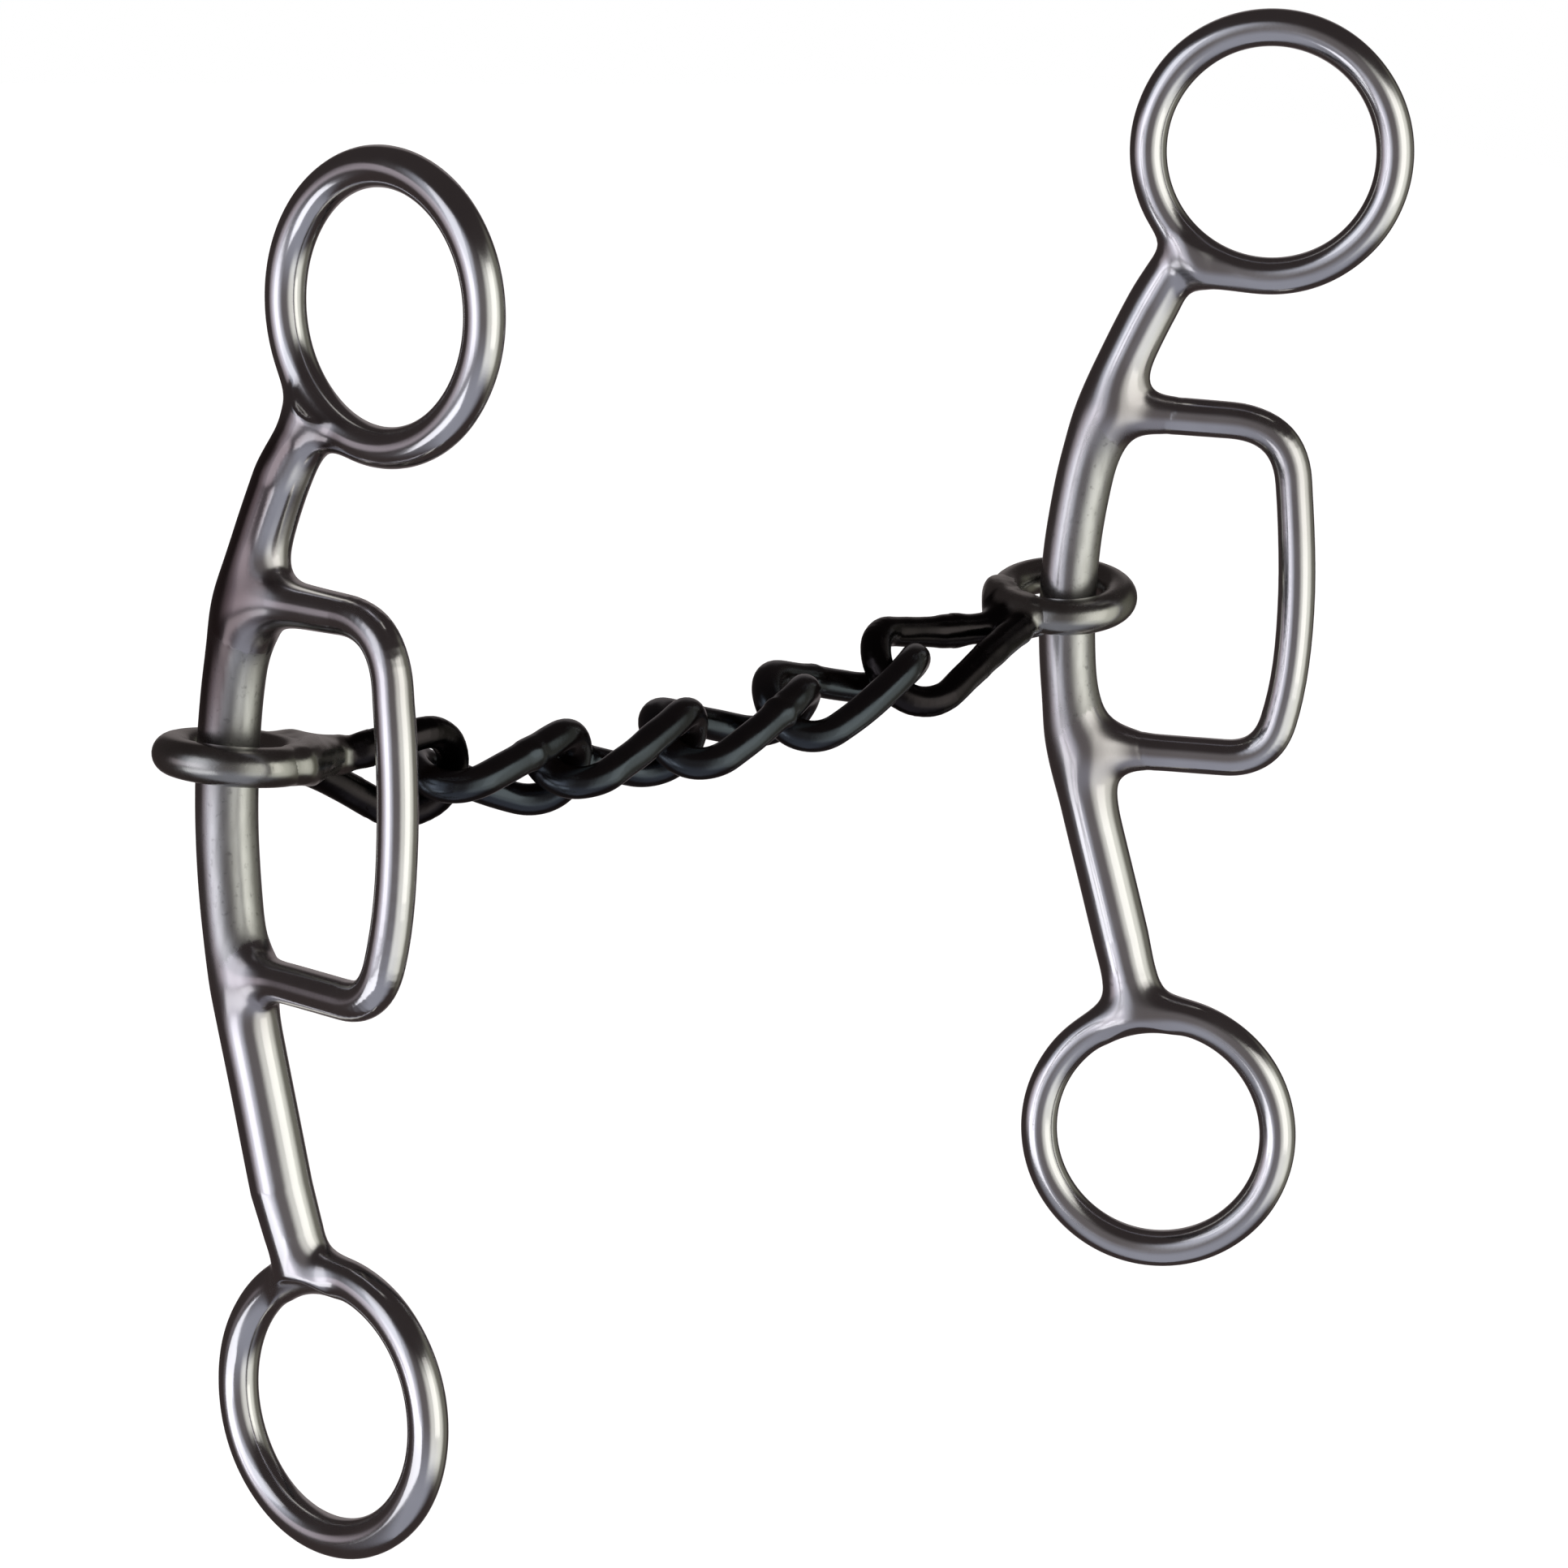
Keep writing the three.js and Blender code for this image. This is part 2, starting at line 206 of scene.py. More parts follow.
def loop_reach(height):
    return LOOP_REACH - LOOP_BOW + math.sqrt(LOOP_BOW**2 - (height - LOOP_MIDDLE) ** 2)


def bezier(a, b, c, steps):
    t = np.linspace(0, 1, steps)[:, None]
    return a * (1 - t) ** 2 + 2 * b * t * (1 - t) + c * t**2


def loop_path(out):
    """The middle line of the D loop, from the bar round to the bar."""
    ends = []
    for arm in (LOOP_UPPER, LOOP_LOWER):
        corner_height = arm["height"] + arm["rise"]
        weld = np.array([bar_reach(arm["height"]), out * BAR_OFFSET, arm["height"]])
        corner = np.array([loop_reach(corner_height), out * arm["offset"], corner_height])
        ends.append((weld, corner, arm["corner"]))
    (upper_weld, upper, upper_round), (lower_weld, lower, lower_round) = ends
    middle = np.array([
        2 * LOOP_REACH - (upper[0] + lower[0]) / 2,
        out * (LOOP_UPPER["offset"] + LOOP_LOWER["offset"]) / 2,
        LOOP_MIDDLE,
    ])

    def toward(start, end, distance):
        return start + (end - start) / np.linalg.norm(end - start) * distance

    upper_out = toward(upper, upper_weld, upper_round)
    upper_down = toward(upper, middle, upper_round)
    lower_up = toward(lower, middle, lower_round)
    lower_out = toward(lower, lower_weld, lower_round)
    upper_weld = toward(upper_weld, upper, LOOP_START)
    lower_weld = toward(lower_weld, lower, LOOP_START)
    return np.concatenate([
        upper_weld[None],
        bezier(upper_out, upper, upper_down, 14),
        bezier(upper_down, middle, lower_up, 14)[1:-1],
        bezier(lower_up, lower, lower_out, 14),
        lower_weld[None],
    ])


def bar_distance(p, out):
    """Distance to the bar: an arc down to the shank, then a straight shank. It slims towards both rings and
    stops at the middle of their rod."""
    head_angle = math.asin((BAR_HEAD - BOW_HEIGHT) / BOW_RADIUS)
    angle = np.arctan2(p[:, 2] - BOW_HEIGHT, BOW_RADIUS - BOW_DEPTH - p[:, 0])
    angle = np.clip(angle, -SHANK_ANGLE, head_angle)
    height = BOW_HEIGHT + BOW_RADIUS * np.sin(angle)
    slim = SLIM_BAR * smooth_step(height, SLIM_FROM, SLIM_TO)
    end = smooth_step(height, BAR_HEAD - 9, BAR_HEAD - 1)
    arc = BOW_RADIUS - slim
    nearest = np.stack([
        BOW_RADIUS - BOW_DEPTH - arc * np.cos(angle),
        out * (BAR_OFFSET - BAR_END_SHIFT * end),
        BOW_HEIGHT + arc * np.sin(angle),
    ], 1)
    bow = lengths(p - nearest) - (BAR - slim - 0.4 * end)
    shank_top = BOW_HEIGHT - BOW_RADIUS * math.sin(SHANK_ANGLE)
    heights = [shank_top, 25.0, 20.0, BAR_FOOT]
    offsets = [BAR_OFFSET, BAR_OFFSET, BAR_OFFSET - 0.5, BAR_OFFSET - BAR_END_SHIFT]
    shank = np.array([[bar_reach(h), out * o, h] for h, o in zip(heights, offsets)])
    whole = np.minimum(bow, line_distance(p, shank, [BAR, BAR, BAR - 0.15, BAR - 0.5]))
    for centre in (0.0, RING_SPACING):
        inside = RING_RADIUS - np.hypot(p[:, 0], p[:, 2] - centre)
        whole = smooth_max(whole, inside, 1.0)
    return whole


def cheek_parts(p, side):
    """The separate distances to the bar, headstall ring, rein ring and D loop."""
    out = CHEEKS[side]["out"]
    flat = np.array([0.0, 1.0, 0.0])
    path = loop_path(out)
    loop = np.full(len(p), FAR)
    low, high = path.min(0) - 14, path.max(0) + 14
    near = np.all((p > low) & (p < high), axis=1)
    rods = [ROD + WELDS[side]["swell"]] + [ROD] * (len(path) - 1)
    loop[near] = line_distance(p[near], path, rods)
    return {
        "cheek_bar": bar_distance(p, out),
        "headstall_ring": ring_distance(p, np.array([0, 0, RING_SPACING]), flat, RING_RADIUS, ROD),
        "rein_ring": ring_distance(p, np.array([0, 0, 0.0]), flat, RING_RADIUS, ROD),
        "d_loop": loop,
    }


def loop_weld(p, side):
    """The fillet reach of the D loop's welds, above and below each of its arms."""
    reaches = []
    for arm, name in ((LOOP_UPPER, "upper"), (LOOP_LOWER, "lower")):
        above, below = WELDS[side][name]
        rise = smooth_step(p[:, 2], arm["height"] - 5, arm["height"] + 5)
        reaches.append(below + (above - below) * rise)
    middle = (LOOP_UPPER["height"] + LOOP_LOWER["height"]) / 2
    return np.where(p[:, 2] > middle, reaches[0], reaches[1])


def ring_weld(p, centre, reach, share_inside):
    """The fillet reach at a ring, of which only a share is left inside the ring."""
    inside = RING_RADIUS - np.hypot(p[:, 0], p[:, 2] - centre)
    return reach * (1 + (share_inside - 1) * smooth_step(inside, -3.0, 2.0))


def head_weld(p, side):
    """The fillet reach at the headstall ring: small in front of the bar, larger behind it."""
    sizes = WELDS[side]
    reach = bar_reach(BAR_HEAD)
    behind = smooth_step(p[:, 0], reach - 2.5, reach + 3.5)
    whole = sizes["head_front"] + (sizes["head"] - sizes["head_front"]) * behind
    return ring_weld(p, RING_SPACING, whole, sizes["head_inside"])


def foot_weld(p, side):
    return ring_weld(p, 0.0, WELDS[side]["foot"], WELDS[side]["foot_inside"])


def cheek_field(side):
    """The distance to a whole cheek with its welds, as a function of points."""
    seed = 11 if side == "left" else 23
    seam, depth = WELDS[side]["seam"], WELDS[side]["groove"]
    weld_height, weld_wave = WELD_LUMPS
    rod_height, rod_wave = ROD_LUMPS

    def field(p):
        d = cheek_parts(p, side)
        whole = smooth_min(d["cheek_bar"], d["headstall_ring"], head_weld(p, side))
        whole = smooth_min(whole, d["rein_ring"], foot_weld(p, side))
        whole = smooth_min(whole, d["d_loop"], loop_weld(p, side))
        lumps = weld_height * waves(p, seed, weld_wave) * smooth_step(fillet_share(p, side, d), 0, 1)
        lumps += rod_height * waves(p, seed + 1, rod_wave)
        groove = depth * np.exp(-(((d["cheek_bar"] - seam) / 0.4) ** 2)) * (d["d_loop"] < 1.5)
        return whole + lumps + groove

    return field


def fillet_share(p, side, d):
    """1 in the middle of a fillet, 0 away from all of them."""
    bar = d["cheek_bar"]
    shares = [
        0.5 * weld_share(bar, d["headstall_ring"], head_weld(p, side)),
        0.5 * weld_share(bar, d["rein_ring"], foot_weld(p, side)),
        weld_share(bar, d["d_loop"], loop_weld(p, side)),
    ]
    return np.maximum.reduce(shares)


def dull_welds(p, side, d):
    """1 where a weld is left dull, 0 away from it. On the D loop it ends at the seam."""
    seam = WELDS[side]["seam"]
    on_arm = 1 - smooth_step(d["cheek_bar"], seam - 0.3, seam + 0.3)
    on_arm = on_arm * (1 - smooth_step(d["d_loop"], 0.4, 2.0))
    return np.maximum(fillet_share(p, side, d), on_arm)


# ---------------------------------------------------------------- meshing a field

def gradient(field, p, step=0.02):
    columns = []
    for axis in range(3):
        shift = np.zeros(3)
        shift[axis] = step
        columns.append(field(p + shift) - field(p - shift))
    return np.stack(columns, 1) / (2 * step)


def surface(field, low, high, voxel):
    """Vertices on the zero surface, its quads and its outward normals."""
    low = np.array(low, float)
    counts = np.ceil((np.array(high) - low) / voxel).astype(int) + 1
    axes = [low[i] + voxel * np.arange(counts[i]) for i in range(3)]
    values = np.empty(counts, np.float32)
    across, up = np.meshgrid(axes[1], axes[2], indexing="ij")
    for i, x in enumerate(axes[0]):
        points = np.stack([np.full(across.size, x), across.ravel(), up.ravel()], 1)
        values[i] = field(points).reshape(across.shape)
    grid = openvdb.FloatGrid(FAR)
    grid.copyFromArray(values)
    points, quads = grid.convertToQuads(0.0)
    points = low + voxel * np.asarray(points, float)
    quads = np.asarray(quads)
    for _ in range(3):
        slope = gradient(field, points)
        points = points - slope * (field(points) / np.maximum(dots(slope, slope), 0.2))[:, None]
    normals = gradient(field, points)
    normals /= lengths(normals)[:, None]
    first, second, third = (points[quads[:, i]] for i in range(3))
    outward = dots(np.cross(second - first, third - first), normals[quads[:, 0]])
    if outward.sum() < 0:
        quads = quads[:, ::-1]
    return points, quads, normals


def mesh_object(name, points, faces, normals=None, matrix=np.eye(4), marks=None):
    """An object from points in millimetres of a local frame, which matrix takes to the part's frame."""
    turn = matrix[:3, :3]
    placed = points @ turn.T + matrix[:3, 3]
    mesh = bpy.data.meshes.new(name)
    mesh.from_pydata(placed * MM, [], [list(f) for f in faces])
    mesh.update()
    mesh.polygons.foreach_set("use_smooth", [True] * len(mesh.polygons))
    if normals is not None:
        mesh.normals_split_custom_set_from_vertices(normals @ turn.T)
    for mark, values in (marks or {}).items():
        attribute = mesh.attributes.new(mark, "FLOAT", "POINT")
        attribute.data.foreach_set("value", np.asarray(values, np.float32))
    obj = bpy.data.objects.new(name, mesh)
    bpy.context.scene.collection.objects.link(obj)
    return obj


def hand_over(obj, material, body, node):
    """Gives a finished piece its material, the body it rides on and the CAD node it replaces."""
    obj.data.materials.append(material)
    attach(obj, body)
    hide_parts(node)


# ---------------------------------------------------------------- where things stand

def rotation(x, y, z):
    """Turns about x, then y, then z, in radians."""
    cx, sx, cy, sy, cz, sz = (f(a) for a in (x, y, z) for f in (math.cos, math.sin))
    rx = np.array([[1, 0, 0], [0, cx, -sx], [0, sx, cx]])
    ry = np.array([[cy, 0, sy], [0, 1, 0], [-sy, 0, cy]])
    rz = np.array([[cz, -sz, 0], [sz, cz, 0], [0, 0, 1]])
    return rz @ ry @ rx


def cheek_turn(side):
    c = CHEEKS[side]
    return rotation(
        -c["out"] * math.radians(c["lean"]), math.radians(c["pitch"]), math.radians(c["yaw"] - 90)
    )


def origin_shift():
    """From the left seat, where the CAD part is built, to the left headstall ring, where its origin is."""
    c = CHEEKS["left"]
    ring = np.array([-bar_reach(c["seat"]), -c["out"] * BAR_OFFSET, RING_SPACING - c["seat"]])
    return -cheek_turn("left") @ ring


SEATS = {
    "left": origin_shift(),
    "right": origin_shift() + np.array([MOUTH_WIDTH, 0, MOUTH_RISE]),
}


def cheek_matrix(side):
    c = CHEEKS[side]
    matrix = np.eye(4)
    matrix[:3, :3] = cheek_turn(side)
    matrix[:3, 3] = SEATS[side] + matrix[:3, :3] @ np.array(
        [-bar_reach(c["seat"]), -c["out"] * BAR_OFFSET, -c["seat"]]
    )
    return matrix


# ---------------------------------------------------------------- materials

def node_tree(name):
    material = bpy.data.materials.new(name)
    material.use_nodes = True
    tree = material.node_tree
    return material, tree, tree.nodes["Principled BSDF"]


def noise(tree, scale, detail=3.0, stretch=None):
    """A noise texture in object space, with about so many waves per metre as its scale."""
    texture = tree.nodes.new("ShaderNodeTexNoise")
    texture.inputs["Scale"].default_value = scale
    texture.inputs["Detail"].default_value = detail
    place = tree.nodes.new("ShaderNodeTexCoord")
    if stretch is None:
        tree.links.new(place.outputs["Object"], texture.inputs["Vector"])
    else:
        mapping = tree.nodes.new("ShaderNodeMapping")
        mapping.inputs["Scale"].default_value = stretch
        tree.links.new(place.outputs["Object"], mapping.inputs["Vector"])
        tree.links.new(mapping.outputs["Vector"], texture.inputs["Vector"])
    return texture.outputs["Fac"]


def fit_range(tree, value, low, high, new_low, new_high):
    node = tree.nodes.new("ShaderNodeMapRange")
    node.inputs["From Min"].default_value = low
    node.inputs["From Max"].default_value = high
    node.inputs["To Min"].default_value = new_low
    node.inputs["To Max"].default_value = new_high
    tree.links.new(value, node.inputs["Value"])
    return node.outputs["Result"]


def arithmetic(tree, operation, a, b):
    node = tree.nodes.new("ShaderNodeMath")
    node.operation = operation
    for socket, value in zip(node.inputs, (a, b)):
        if isinstance(value, (int, float)):
            socket.default_value = value
        else:
            tree.links.new(value, socket)
    return node.outputs["Value"]


def mark(tree, name):
    node = tree.nodes.new("ShaderNodeAttribute")
    node.attribute_name = name
    return node.outputs["Fac"]


def mix_colour(tree, share, first, second):
    node = tree.nodes.new("ShaderNodeMix")
    node.data_type = "RGBA"
    if isinstance(share, (int, float)):
        node.inputs["Factor"].default_value = share
    else:
        tree.links.new(share, node.inputs["Factor"])
    for socket, value in ((node.inputs[6], first), (node.inputs[7], second)):
        if isinstance(value, tuple):
            socket.default_value = (*value, 1)
        else:
            tree.links.new(value, socket)
    return node.outputs[2]


def bump(tree, shader, height, strength, distance):
    node = tree.nodes.new("ShaderNodeBump")
    node.inputs["Strength"].default_value = strength
    node.inputs["Distance"].default_value = distance
    tree.links.new(height, node.inputs["Height"])
    tree.links.new(node.outputs["Normal"], shader.inputs["Normal"])


def cheek_steel():
    """Polished stainless steel: dull and a little browner at the welds, satin and pitted where the eye runs,
    and with a painted dark reflection, dark reddish, on the front of the left cheek's upper bar."""
    material, tree, shader = node_tree("cheek_steel")
    shader.inputs["Metallic"].default_value = 1.0
    satin = mark(tree, "satin")
    weld = mark(tree, "weld")
    cloud = noise(tree, 180, 4)
    grain = noise(tree, 2600, 2)
    streaks = noise(tree, 900, 3, (1, 1, 0.22))
    pits = fit_range(tree, noise(tree, 1300, 2), 0.60, 0.76, 0, 1)
    pitted = arithmetic(tree, "MULTIPLY", pits, satin)
    blotched = arithmetic(tree, "MULTIPLY", fit_range(tree, streaks, 0.42, 0.68, 0, 1), satin)
    base = mix_colour(tree, cloud, (0.60, 0.58, 0.59), (0.70, 0.69, 0.70))
    base = mix_colour(tree, arithmetic(tree, "MULTIPLY", weld, 0.7), base, (0.43, 0.395, 0.40))
    base = mix_colour(tree, arithmetic(tree, "MULTIPLY", satin, 0.6), base, (0.46, 0.46, 0.44))
    base = mix_colour(tree, arithmetic(tree, "MULTIPLY", blotched, 0.35), base, (0.26, 0.25, 0.24))
    base = mix_colour(tree, arithmetic(tree, "MULTIPLY", pitted, 0.45), base, (0.16, 0.15, 0.15))
    # Painted dark reflection: the front of the left cheek's upper bar is tinted dark reddish, standing in for
    # the dim room that it mirrors.
    painted_reflection_share = arithmetic(tree, "MULTIPLY", mark(tree, "painted_dark_reflection"), 0.85)
    base = mix_colour(tree, painted_reflection_share, base, (0.115, 0.080, 0.080))
    tree.links.new(base, shader.inputs["Base Color"])
    rough = fit_range(tree, cloud, 0.3, 0.7, 0.12, 0.18)
    rough = arithmetic(tree, "ADD", rough, arithmetic(tree, "MULTIPLY", satin, 0.19))
    rough = arithmetic(tree, "ADD", rough, arithmetic(tree, "MULTIPLY", weld, 0.10))
    tree.links.new(rough, shader.inputs["Roughness"])
    height = arithmetic(tree, "SUBTRACT", arithmetic(tree, "MULTIPLY", grain, 0.3), pitted)
    bump(tree, shader, height, 0.10, 0.0001)
    return material


def eye_steel():
    """Darkened steel with a satin skin."""
    material, tree, shader = node_tree("eye_steel")
    shader.inputs["Metallic"].default_value = 1.0
    cloud = noise(tree, 260, 4)
    grain = noise(tree, 2200, 3)
    dark = mark(tree, "black")
    base = mix_colour(tree, cloud, (0.32, 0.31, 0.29), (0.47, 0.465, 0.45))
    base = mix_colour(tree, dark, base, (0.030, 0.026, 0.027))
    tree.links.new(base, shader.inputs["Base Color"])
    tree.links.new(fit_range(tree, cloud, 0.3, 0.7, 0.20, 0.30), shader.inputs["Roughness"])
    bump(tree, shader, grain, 0.10, 0.0001)
    return material


def chain_steel():
    """Black glossy steel with a faint rough skin."""
    material, tree, shader = node_tree("chain_steel")
    shader.inputs["Metallic"].default_value = 0.0
    shader.inputs["IOR"].default_value = 1.75
    shader.inputs["Specular Tint"].default_value = (0.72, 0.86, 1.0, 1)
    cloud = noise(tree, 300, 4)
    grain = noise(tree, 1500, 3)
    base = mix_colour(tree, cloud, (0.005, 0.003, 0.003), (0.012, 0.007, 0.006))
    tree.links.new(base, shader.inputs["Base Color"])
    tree.links.new(fit_range(tree, cloud, 0.3, 0.7, 0.15, 0.26), shader.inputs["Roughness"])
    bump(tree, shader, grain, 0.10, 0.00015)
    return material


# ---------------------------------------------------------------- the cheeks

def edge_table(quads):
    """Each quad's four directed edges, and for each edge a key that both of its quads share."""
    starts = quads.ravel()
    ends = np.roll(quads, -1, axis=1).ravel()
    keys = np.minimum(starts, ends).astype(np.int64) * (quads.max() + 1) + np.maximum(starts, ends)
    return starts, ends, keys


def neighbour_quads(quads):
    """For each quad, the four quads across its edges."""
    keys = edge_table(quads)[2]
    order = np.argsort(keys, kind="stable")
    pairs = order.reshape(-1, 2)
    across = np.empty(len(keys), int)
    across[pairs[:, 0]] = pairs[:, 1] // 4
    across[pairs[:, 1]] = pairs[:, 0] // 4
    return across.reshape(-1, 4)


def owners(quads, table):
    """Which piece each quad belongs to: the one with the nearest surface, with stray quads evened out."""
    owner = table[quads].mean(1).argmin(1)
    around = neighbour_quads(quads)
    count = table.shape[1]
    for _ in range(6):
        votes = np.stack([(owner[around] == k).sum(1) for k in range(count)], 1)
        best = votes.argmax(1)
        owner = np.where(votes.max(1) >= 3, best, owner)
    return owner


def nearness(p, side):
    """The distances to the four pieces of a cheek, one column for each."""
    d = cheek_parts(p, side)
    return np.stack([d[name] for name in PIECES], 1)


def straighten_seams(points, quads, owner, field, side):
    """Slide the vertices between two pieces along the skin to where both pieces are equally near."""
    touches = np.zeros((len(points), len(PIECES)), bool)
    for k in range(len(PIECES)):
        touches[quads[owner == k].ravel(), k] = True
    seam = np.flatnonzero(touches.sum(1) == 2)
    first = touches[seam].argmax(1)
    second = len(PIECES) - 1 - touches[seam][:, ::-1].argmax(1)
    rows = np.arange(len(seam))

    def lead(p):
        d = nearness(p, side)
        return d[rows, first] - d[rows, second]

    start = points[seam].copy()
    moved = start.copy()
    for _ in range(3):
        normal = gradient(field, moved)
        normal /= lengths(normal)[:, None]
        slope = gradient(lead, moved)
        slope -= normal * dots(slope, normal)[:, None]
        size = np.maximum(dots(slope, slope), 0.05)
        moved = moved - slope * (lead(moved) / size)[:, None]
        away = moved - start
        far = np.maximum(lengths(away) / (0.6 * CHEEK_VOXEL), 1)
        moved = start + away / far[:, None]
        normal = gradient(field, moved)
        moved = moved - normal * (field(moved) / dots(normal, normal))[:, None]
    result = points.copy()
    result[seam] = moved
    return result


def open_loops(quads):
    """The closed runs of open edges of a skin, in the direction of its quads."""
    starts, ends, keys = edge_table(quads)
    _, index, count = np.unique(keys, return_inverse=True, return_counts=True)
    open_edges = count[index] == 1
    onward = {}
    for a, b in zip(starts[open_edges].tolist(), ends[open_edges].tolist()):
        onward.setdefault(a, []).append(b)
    loops = []
    while onward:
        first = next(iter(onward))
        loop = []
        here = first
        while here in onward:
            loop.append(here)
            following = onward[here].pop()
            if not onward[here]:
                del onward[here]
            here = following
        loops.append(loop)
    return loops


def closed_piece(points, quads, normals, marks):
    """A piece of a skin on its own, closed inside the metal by a fan over each open loop."""
    faces = quads.tolist()
    caps, cap_normals = [], []
    for loop in open_loops(quads):
        centre = len(points) + len(caps)
        caps.append(points[loop].mean(0))
        spokes = points[loop] - caps[-1]
        cap_normals.append(np.cross(np.roll(spokes, -1, axis=0), spokes).sum(0))
        for a, b in zip(loop, loop[1:] + loop[:1]):
            faces.append([b, a, centre])
    all_points = np.concatenate([points, np.array(caps)])
    all_normals = np.concatenate([normals, np.array(cap_normals)])
    all_normals /= lengths(all_normals)[:, None]
    used = np.unique(np.concatenate([np.asarray(f) for f in faces]))
    new_index = np.full(len(all_points), -1)
    new_index[used] = np.arange(len(used))
    faces = [[int(new_index[v]) for v in face] for face in faces]
    marks = {name: np.concatenate([values, np.zeros(len(caps))])[used] for name, values in marks.items()}
    return all_points[used], faces, all_normals[used], marks


def band(height, edges):
    """1 between the middle two heights, 0 beyond the outer two, smooth between."""
    return smooth_step(height, edges[0], edges[1]) * (1 - smooth_step(height, edges[2], edges[3]))


def cheek_marks(points, normals, side):
    """Where a cheek is dull from welding and satin from the eye's rubbing, and where it gets a painted dark
    reflection, per vertex.
    """
    d = cheek_parts(points, side)
    in_loop = band(points[:, 2], EYE_BAND)
    on_bar = d["cheek_bar"] < 0.4
    upper_bar = band(points[:, 2], DARK_REFLECTION_BAND)
    in_front = smooth_step(-0.75 * normals[:, 0] - 0.66 * normals[:, 1], 0.0, 0.3)
    return {
        "weld": dull_welds(points, side, d),
        "satin": in_loop * on_bar * (0.4 + 0.6 * smooth_step(normals[:, 0], -0.05, 0.5)),
        # Painted dark reflection on the front of the left bar's upper part, chosen by the direction its skin
        # faces.
        "painted_dark_reflection": upper_bar * in_front * (1 - smooth_step(d["cheek_bar"], 1.0, 4.5)) * (side == "left"),
    }


def make_cheek(side, material):
    field = cheek_field(side)
    low = (-BOW_DEPTH - BAR - 1.5, -CHEEK_HALF, -RING_RADIUS - ROD - 1.0)
    high = (RING_RADIUS + ROD + 1.0, CHEEK_HALF, RING_SPACING + RING_RADIUS + ROD + 1.0)
    points, quads, _ = surface(field, low, high, CHEEK_VOXEL)
    owner = owners(quads, nearness(points, side))
    points = straighten_seams(points, quads, owner, field, side)
    normals = gradient(field, points)
    normals /= lengths(normals)[:, None]
    marks = cheek_marks(points, normals, side)
    for k, name in enumerate(PIECES):
        skin, faces, outward, own_marks = closed_piece(points, quads[owner == k], normals, marks)
        obj = mesh_object(f"{side}_{name}_steel", skin, faces, outward, cheek_matrix(side), own_marks)
        hand_over(obj, material, f"{side}_cheek", f"{side}_{name}")


# ---------------------------------------------------------------- the chain

def loop_axes(along, roll):
    length = along / np.linalg.norm(along)
    up = np.array([0, 0, 1.0])
    up = up - length * (up @ length)
    up /= np.linalg.norm(up)
    across = np.cross(length, up)
    top = up * math.cos(roll) + across * math.sin(roll)
    return length, top, np.cross(length, top)


def loop_point(origin, axes, along, across, twist):
    length, top, side = axes
    return origin + length * along + top * (across * math.cos(twist)) + side * (across * math.sin(twist))


def link_line(start, lie, steps):
    """The middle line of a free link, as points, and the normal of its twisted plane at each."""
    slope, heading, roll = (math.radians(v) for v in lie)
    along = rotation(0, -slope, heading) @ np.array([1.0, 0, 0])
    axes = loop_axes(along, roll)
    middle = start + along * LINK_PITCH / 2
    length = LINK_PITCH + 2 * WIRE + GAP
    straight = length - 2 * LINK_BEND
    turn = math.pi * LINK_BEND
    points, normals = [], []
    for i in range(steps):
        t = i / steps
        half = 1 if t < 0.5 else -1
        distance = (t % 0.5) * 2 * (straight + turn)
        bend = (distance - straight) / LINK_BEND
        x = distance - straight / 2 if bend < 0 else straight / 2 + LINK_BEND * math.sin(bend)
        y = LINK_BEND if bend < 0 else LINK_BEND * math.cos(bend)
        twist = LINK_TWIST * half * x / length
        points.append(loop_point(middle, axes, half * x, half * y, twist))
        normals.append(axes[2] * math.cos(twist) - axes[1] * math.sin(twist))
    return np.array(points), np.array(normals), start + along * LINK_PITCH


def closed_tube(points, normals, radii, sides):
    """A round tube about a closed line."""
    tangents = np.roll(points, -1, 0) - np.roll(points, 1, 0)
    tangents /= lengths(tangents)[:, None]
    normals = normals - tangents * dots(normals, tangents)[:, None]
    normals /= lengths(normals)[:, None]
    sideways = np.cross(tangents, normals)
    angle = np.linspace(0, 2 * math.pi, sides, endpoint=False)
    spokes = normals[:, None] * np.cos(angle)[None, :, None]
    spokes += sideways[:, None] * np.sin(angle)[None, :, None]
    skin = points[:, None] + spokes * radii
    count = len(points)
    faces = []
    for i in range(count):
        for j in range(sides):
            k, m = (i + 1) % count, (j + 1) % sides
            faces.append((i * sides + j, i * sides + m, k * sides + m, k * sides + j))
    return skin.reshape(-1, 3), faces


def make_link(index, start, lie, material):
    """A free link with its weld bead. Returns where it touches the next one."""
    steps, sides = 150, 28
    points, normals, end = link_line(start, lie, steps)
    place = np.arange(steps) / steps
    bead = np.exp(-(((place - LINK_WELDS[index]) / BEAD_LENGTH) ** 2))
    radii = np.repeat((WIRE * (1 + BEAD_SWELL * bead))[:, None], sides, 1)[:, :, None]
    skin, faces = closed_tube(points, normals, radii, sides)
    shift = 0.045 * waves(skin, 40 + index, 7.0)
    shift += 0.10 * waves(skin, 60 + index, 3.0) * np.repeat(bead, sides)
    outward = skin - np.repeat(points, sides, 0)
    outward /= lengths(outward)[:, None]
    skin = skin + outward * shift[:, None]
    name = f"chain_link_{index + 1}"
    obj = mesh_object(f"{name}_wire", skin, faces)
    hand_over(obj, material, f"link_{index + 1}", name)
    return end


